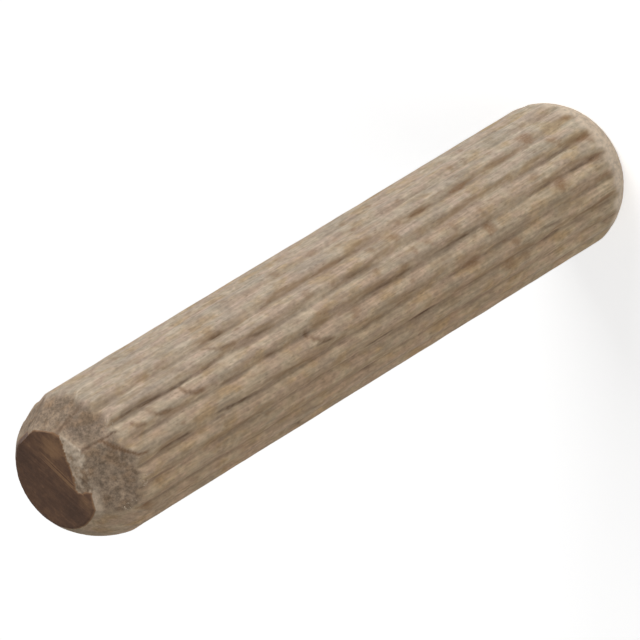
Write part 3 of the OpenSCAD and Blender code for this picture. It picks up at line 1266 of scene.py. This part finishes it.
@dataclass(frozen=True)
class RawBeech:
    """Raw beech, milled, torn in the flutes and scorched by the saw, with painted shade and painted light
    laid into its colour.

    Attributes:
        light: Clean wood where it is palest.
        warm: Wood with a yellow cast.
        rosy: Wood with a pink cast.
        grey: Wood that has weathered.
        tear: Torn wood along the flutes, also laid on their lit flanks as painted shade.
        deep: Painted shade and dirt at the bottom of a flute, also the colour of the dark dashes in the
            grain.
        ray: Ray flecks.
        cut: Fibres cut across on the noses and flats.
        cut_dark: The same where they are darkest.
        cut_brown: Stains on them.
        crack_and_crease_shadow: Dark tears in the flutes, and the creases between the flats, which are
            partly brown fibre and partly painted shadow.
        pore: Open pores.
        burn: Scorched wood.
        ember: Scorched wood where it is lighter.
        soot: Scorched wood where it is darkest.
        bare: Fibres in the chip, and the plain nose, where it is pale wood brightened as painted light.
        painted_shade_tint: Painted shade, warmer and darker, on the side away from the light.
        painted_light_tint: Painted light, paler and bluer, towards the plain end.
    """

    light: Tone = paint(194, 178, 157)
    warm: Tone = paint(182, 159, 130)
    rosy: Tone = paint(186, 164, 147)
    grey: Tone = paint(166, 154, 138)
    tear: Tone = paint(158, 130, 97)
    deep: Tone = paint(118, 95, 73)
    ray: Tone = paint(138, 101, 66)
    cut: Tone = paint(154, 134, 113)
    cut_dark: Tone = paint(122, 105, 89)
    cut_brown: Tone = paint(132, 108, 84)
    crack_and_crease_shadow: Tone = paint(90, 66, 48)
    pore: Tone = paint(80, 67, 56)
    burn: Tone = paint(102, 76, 60)
    ember: Tone = paint(142, 109, 80)
    soot: Tone = paint(89, 67, 54)
    bare: Tone = paint(216, 198, 176)
    painted_shade_tint: Tone = (1.01, 0.92, 0.79, 1.0)
    painted_light_tint: Tone = (1.06, 1.1, 1.11, 1.0)

    def material(self) -> bpy.types.Material:
        """Builds the node material of the dowel."""
        sheet = NodeSheet("raw_beech")
        wood = self.worked(sheet, self.painted_side_shade_end_light(sheet, self.wood(sheet)))
        scorch = sheet.mark(Mark.SCORCH)
        burnt = sheet.span(scorch, 0.0, 0.3)
        colour = sheet.blend(burnt, wood, self.scorched(sheet, scorch))
        roughness = sheet.calc("SUBTRACT", sheet.draw(Figure.GLOSS), sheet.calc("MULTIPLY", burnt, 0.15))
        return sheet.matt(colour, roughness, self.relief(sheet, burnt), 0.55, 0.03)

    def fibre_material(self) -> bpy.types.Material:
        """Builds the material of the loose fibres, pale and streaked."""
        sheet = NodeSheet("loose_fibre")
        streak = sheet.draw(Figure.LOOSE_STREAKS)
        roughness = sheet.span(streak, 0.0, 1.0, 0.78, 0.88)
        colour = sheet.blend(streak, self.cut, self.bare)
        return sheet.matt(colour, roughness, sheet.draw(Figure.LOOSE_RELIEF), 0.3, 0.01)

    def wood(self, sheet: NodeSheet) -> bpy.types.NodeSocket:
        """Clean wood: broad casts, streaks along the grain and fine mottle."""
        colour = sheet.blend(sheet.draw(Figure.WARM_CAST), self.light, self.warm)
        colour = sheet.coat(sheet.draw(Figure.ROSY_CAST), 0.75, colour, self.rosy)
        colour = sheet.coat(sheet.draw(Figure.GREY_CAST), 0.6, colour, self.grey)
        tone = sheet.calc("MULTIPLY", sheet.draw(Figure.STREAKS), sheet.draw(Figure.MOTTLE))
        return sheet.scale(colour, tone)

    def painted_side_shade_end_light(self, sheet: NodeSheet, colour: bpy.types.NodeSocket) -> bpy.types.NodeSocket:
        """Painted shade, warmer and darker, towards the side away from the key lamp, and painted light,
        paler and bluer, towards the plain end.
        """
        parts = sheet.node("ShaderNodeSeparateXYZ")
        sheet.feed(parts.inputs[0], sheet.place)
        # Painted shade: warmer and darker towards the side away from the key lamp.
        warm = sheet.span(parts.outputs["X"], 3.0 * MM, -3.4 * MM)
        colour = sheet.blend(warm, colour, sheet.blend(1.0, colour, self.painted_shade_tint, "MULTIPLY"))
        # Painted light: paler and bluer towards the plain end.
        pale = sheet.span(parts.outputs["Z"], 15.0 * MM, 0.0)
        return sheet.blend(pale, colour, sheet.blend(1.0, colour, self.painted_light_tint, "MULTIPLY"))

    def worked(self, sheet: NodeSheet, wood: bpy.types.NodeSocket) -> bpy.types.NodeSocket:
        """What milling did, with painted shade and light: torn edges with painted shade on the lit flanks,
        painted shade and dirt in the flutes, flecks, cut fibres with creases that are partly painted
        shadow, pores, and the plain nose brightened as painted light.
        """
        # Torn wood on the shaded flanks and painted shade on the lit flanks, in one mask.
        torn = sheet.calc("MULTIPLY", sheet.mark(Mark.TORN_AND_FLANK_SHADE), sheet.draw(Figure.TORN_EDGE), clamp=True)
        colour = sheet.coat(torn, 0.7, wood, self.tear)
        # Painted shade and dirt: darker towards the bottom of each flute.
        flute_shade_and_dirt = sheet.span(sheet.mark(Mark.FLUTE_SHADE_AND_DIRT), 0.6, 1.2, 0.0, 0.5)
        colour = sheet.blend(flute_shade_and_dirt, colour, self.deep)
        colour = sheet.blend(sheet.draw(Figure.DASHES), colour, self.deep)
        colour = sheet.blend(sheet.draw(Figure.RAYS), colour, self.ray)
        colour = sheet.blend(sheet.mark(Mark.END_CUT), colour, self.cut_wood(sheet))
        fleck = sheet.calc("MULTIPLY", sheet.mark(Mark.FLECK), sheet.draw(Figure.FLECK_GRAIN))
        colour = sheet.coat(fleck, 0.66, colour, self.ray)
        # Dark tears, and the creases between the flats, which are partly painted shadow.
        stroke = sheet.calc("MULTIPLY", sheet.mark(Mark.STROKE), sheet.draw(Figure.STROKE_GRAIN))
        colour = sheet.coat(stroke, 0.8, colour, self.crack_and_crease_shadow)
        # Pale fibres for the chip, and for the plain nose, where the pale wood is brightened as painted
        # light.
        bare = sheet.scale(self.bare, sheet.draw(Figure.BARE_FIBRES))
        return sheet.blend(sheet.mark(Mark.PALE), colour, bare)

    def cut_wood(self, sheet: NodeSheet) -> bpy.types.NodeSocket:
        """Wood cut across its fibres: grainy, stained and dotted with open pores."""
        shade = sheet.mark(Mark.SHADE)
        colour = sheet.blend(shade, self.cut, self.cut_dark)
        colour = sheet.blend(sheet.draw(Figure.CUT_STAIN), colour, self.cut_brown)
        tone = sheet.calc("MULTIPLY", sheet.draw(Figure.CUT_GRAIN), sheet.draw(Figure.CUT_PATCHES))
        dots = sheet.calc("MULTIPLY", sheet.draw(Figure.PORES), shade)
        return sheet.blend(dots, sheet.scale(colour, tone), self.pore)

    def scorched(self, sheet: NodeSheet, scorch: bpy.types.NodeSocket) -> bpy.types.NodeSocket:
        """Scorched face, streaked along the saw's lines."""
        degree = sheet.calc("ADD", scorch, sheet.draw(Figure.SCORCH_BLOTCH))
        colour = sheet.blend(sheet.span(degree, 0.82, 0.3), self.burn, self.ember)
        colour = sheet.blend(sheet.span(degree, 0.72, 0.98), colour, self.soot)
        colour = sheet.scale(colour, sheet.draw(Figure.SAW_STREAKS))
        lines = sheet.calc("MULTIPLY", sheet.draw(Figure.SAW_LINES), sheet.mark(Mark.SAWN))
        return sheet.blend(lines, colour, self.ember)

    @staticmethod
    def relief(sheet: NodeSheet, scorch: bpy.types.NodeSocket) -> bpy.types.NodeSocket:
        """Fine relief: fibres along the shank, pits in cut wood, lines on the sawn face."""
        fuzzy = sheet.calc("ADD", sheet.calc("MULTIPLY", sheet.mark(Mark.END_CUT), 0.65), 0.2, clamp=True)
        mixed = sheet.blend(fuzzy, sheet.draw(Figure.FIBRE_RELIEF), sheet.draw(Figure.FUZZ_RELIEF))
        return sheet.blend(sheet.calc("MULTIPLY", scorch, 0.8), mixed, sheet.draw(Figure.SAW_RELIEF))


@dataclass
class TornFibres:
    """Short curled fibres that stand up where the cutter tore the sawn nose.

    Attributes:
        tufts: Direction, height and distance from the axis of each tuft.
        each: Fibres in a tuft.
        long: Length of a fibre.
        thick: Radius of a fibre at its root.
        curl: How far a fibre bends from root to tip, in degrees.
        joints: Places along a fibre where it bends.
        spread: How far the roots of a tuft lie apart.
        lean: Angle by which a fibre leans over, in degrees.
        lean_spread: How far that angle differs, in degrees.
        steps: How far the place aside, the place along and the lean move on from one fibre to the next.
        spin_step: Share of a turn from one fibre to the next.
    """

    tufts: tuple[tuple[float, float, float], ...] = (
        (-74.5, 38.2, 3.77),
        (-123.2, 37.82, 3.93),
        (-141.5, 38.68, 3.53),
    )
    each: int = 7
    long: float = 0.38
    thick: float = 0.024
    curl: float = 55.0
    joints: int = 6
    spread: float = 0.24
    lean: float = 62.0
    lean_spread: float = 14.0
    steps: tuple[float, float, float] = (0.618, 0.755, 0.57)
    spin_step: float = 0.38

    def build(self) -> bpy.types.Object:
        """Models one fibre, plants copies of it in tufts and joins them.

        Returns:
            The fibres as one mesh object.
        """
        fibre = self.fibre()
        planted = []
        for number, tuft in enumerate(self.tufts):
            for index in range(self.each):
                planted.append(self.plant(fibre, tuft, number * self.each + index))
        bpy.data.objects.remove(fibre)
        pick_only(*planted)
        bpy.ops.object.join()
        piece = bpy.context.object
        piece.name = "torn_fibres"
        piece.data.name = piece.name
        bpy.ops.object.shade_smooth()
        return piece

    def fibre(self) -> bpy.types.Object:
        """Models a tapered fibre that curls over."""
        long = self.long * MM
        thick = self.thick * MM
        bpy.ops.object.select_all(action="DESELECT")
        bpy.ops.mesh.primitive_cone_add(
            vertices=6, radius1=thick, radius2=thick / 3, depth=long, location=(0, 0, long / 2)
        )
        piece = bpy.context.object
        bpy.ops.object.transform_apply(location=True, rotation=True, scale=True)
        with editing(piece):
            pick_edges(piece, lambda a, b: abs(a.z - b.z) > TINY)
            bpy.ops.mesh.subdivide(number_cuts=self.joints)
            bend = math.radians(self.curl / self.joints)
            for joint in range(self.joints, 0, -1):
                height = long * joint / (self.joints + 1)
                pick_edges(piece, lambda a, b: min(a.z, b.z) > height - TINY)
                bpy.ops.transform.rotate(value=bend, orient_axis="Y", center_override=(0, 0, height))
        return piece

    @staticmethod
    def scatter(number: int, step: float) -> float:
        """Value from -1 to 1, spread evenly from one number to the next."""
        return 2.0 * (number * step % 1.0) - 1.0

    def plant(
        self, fibre: bpy.types.Object, tuft: tuple[float, float, float], number: int
    ) -> bpy.types.Object:
        """Plants a copy of the fibre in a tuft.

        Args:
            fibre: The fibre, with its root at the origin.
            tuft: Direction, height and distance from the axis of the tuft.
            number: Number of the copy, which sets how it stands.

        Returns:
            The copy, with its place in its mesh.
        """
        turn, height, out = tuft
        copy = fibre.copy()
        copy.data = fibre.data.copy()
        bpy.context.collection.objects.link(copy)
        aside, along, lean = (self.scatter(number, step) for step in self.steps)
        turned = turn + math.degrees(self.spread * aside / out)
        root = Vector((out - 0.5 * self.thick, 0.0, height + self.spread * along)) * MM
        spin = Matrix.Rotation(math.radians(FULL_TURN * (self.spin_step * number % 1.0)), 4, "X")
        leaning = self.lean + self.lean_spread * lean
        stand = Matrix.Rotation(math.radians(90.0), 4, "Y") @ Matrix.Rotation(math.radians(leaning), 4, "Y")
        size = Matrix.Scale(0.85 + 0.25 * aside, 4)
        place = Matrix.Rotation(math.radians(turned), 4, "Z") @ Matrix.Translation(root)
        copy.data.transform(place @ spin @ stand @ size)
        return copy


@dataclass(frozen=True)
class Lamp:
    """A soft lamp.

    Attributes:
        name: Name of the lamp.
        turn: Direction it stands in.
        rise: Angle above the floor.
        away: Distance from the dowel, in metres.
        side: Side of its square, in metres.
        power: Power in watts.
    """

    name: str
    turn: float
    rise: float
    away: float
    side: float
    power: float


@dataclass
class Studio:
    """Floor, world, lamps and camera.

    Attributes:
        lamps: The lamps.
        sky: Strength of the world's light.
        floor_side: Side of the floor, in metres.
        floor_veil: White that the camera sees over the floor's own light.
    """

    lamps: tuple[Lamp, ...] = (
        Lamp("key", -25.0, 24.0, 0.6, 0.45, 2.3),
        Lamp("fill", -120.0, 32.0, 0.8, 0.5, 1.38),
    )
    sky: float = 0.25
    floor_side: float = 3.0
    floor_veil: float = 0.55

    def build(self, aim: Vector) -> None:
        """Sets the scene.

        Args:
            aim: Middle of the dowel, in metres.
        """
        self.floor()
        self.world()
        for lamp in self.lamps:
            self.hang(lamp, aim)

    def floor(self) -> None:
        """Adds the pale floor, which keeps the dowel's shadow."""
        bpy.ops.object.select_all(action="DESELECT")
        bpy.ops.mesh.primitive_plane_add(size=self.floor_side, location=(0, 0, 0))
        plane = bpy.context.object
        plane.name = "floor"
        sheet = NodeSheet("pale_floor")
        matte = sheet.node("ShaderNodeBsdfDiffuse")
        matte.inputs["Color"].default_value = (0.9, 0.9, 0.9, 1.0)
        plain = sheet.node("ShaderNodeEmission")
        seen = sheet.node("ShaderNodeLightPath")
        direct = sheet.calc("MAXIMUM", seen.outputs["Is Camera Ray"], seen.outputs["Is Glossy Ray"])
        direct = sheet.calc("MAXIMUM", direct, seen.outputs["Is Transmission Ray"])
        mix = sheet.node("ShaderNodeAddShader")
        sheet.feed(plain.inputs["Strength"], sheet.calc("MULTIPLY", direct, self.floor_veil))
        sheet.feed(mix.inputs[0], matte.outputs[0])
        sheet.feed(mix.inputs[1], plain.outputs[0])
        output = sheet.node("ShaderNodeOutputMaterial")
        sheet.feed(output.inputs["Surface"], mix.outputs[0])
        plane.data.materials.append(sheet.material)

    def world(self) -> None:
        """Lights the scene evenly, and shows white where nothing stands."""
        world = bpy.data.worlds.new("studio")
        world.use_nodes = True
        tree = world.node_tree
        tree.nodes.clear()
        seen = tree.nodes.new("ShaderNodeLightPath")
        strength = tree.nodes.new("ShaderNodeMapRange")
        strength.inputs["To Min"].default_value = self.sky
        tree.links.new(seen.outputs["Is Camera Ray"], strength.inputs["Value"])
        light = tree.nodes.new("ShaderNodeBackground")
        tree.links.new(strength.outputs["Result"], light.inputs["Strength"])
        output = tree.nodes.new("ShaderNodeOutputWorld")
        tree.links.new(light.outputs[0], output.inputs["Surface"])
        light.inputs["Color"].default_value = (1.0, 1.0, 1.0, 1.0)
        bpy.context.scene.world = world

    @staticmethod
    def hang(lamp: Lamp, aim: Vector) -> None:
        """Hangs a lamp so that it faces the dowel.

        Args:
            lamp: The lamp.
            aim: Point that it faces, in metres.
        """
        turn, rise = math.radians(lamp.turn), math.radians(lamp.rise)
        way = Vector((math.cos(turn) * math.cos(rise), math.sin(turn) * math.cos(rise), math.sin(rise)))
        bpy.ops.object.light_add(type="AREA", location=aim + way * lamp.away)
        made = bpy.context.object
        made.name = lamp.name
        made.rotation_euler = way.to_track_quat("Z", "Y").to_euler()
        made.data.size = lamp.side
        made.data.energy = lamp.power


@dataclass(frozen=True)
class PhotoView:
    """Camera at the photograph's viewing angle.

    Attributes:
        elevation: Angle above the floor.
        roll: Turn of the picture, so that the dowel lies across it.
        away: Distance from the middle of the dowel.
        slide: How far the camera stands to the right and up of it.
        lens: Focal length on a 36 mm sensor.
    """

    elevation: float = 39.86
    roll: float = -121.5
    away: float = 602.52
    slide: Span = (-0.151, -0.057)
    lens: float = 676.6

    def build(self, aim: Vector) -> None:
        """Adds the camera and makes it the scene's own.

        Args:
            aim: Middle of the dowel, in metres.
        """
        tilt = Matrix.Rotation(math.radians(90.0 - self.elevation), 3, "X")
        turned = tilt @ Matrix.Rotation(math.radians(self.roll), 3, "Z")
        right, up, back = turned.col[0], turned.col[1], turned.col[2]
        place = aim + MM * (self.slide[0] * right + self.slide[1] * up + self.away * back)
        bpy.ops.object.camera_add(location=place, rotation=turned.to_euler())
        camera = bpy.context.object
        camera.name = "photo_view"
        camera.data.lens = self.lens
        bpy.context.scene.camera = camera


def main() -> None:
    """Builds the dowel and its studio."""
    logging.basicConfig(level=logging.INFO, format="%(message)s")
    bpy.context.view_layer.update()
    low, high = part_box(NODE)
    length = (high.z - low.z) / MM
    radius = (high.y - low.y) / 2.0 / MM
    pin = DowelPin(radius=round(radius, 2), length=length)
    piece = pin.build()
    finish = RawBeech()
    piece.data.materials.append(finish.material())
    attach(piece, BODY)
    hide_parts(NODE)
    LOG.info("%s: %d faces", piece.name, len(piece.data.polygons))

    fibres = TornFibres().build()
    fibres.data.materials.append(finish.fibre_material())
    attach(fibres, BODY)
    LOG.info("%s: %d faces", fibres.name, len(fibres.data.polygons))

    aim = Vector((0.0, 0.0, length * MM / 2.0))
    Studio().build(aim)
    PhotoView().build(aim)
    bpy.context.scene.view_settings.view_transform = "Standard"


if __name__ == "__main__":
    main()
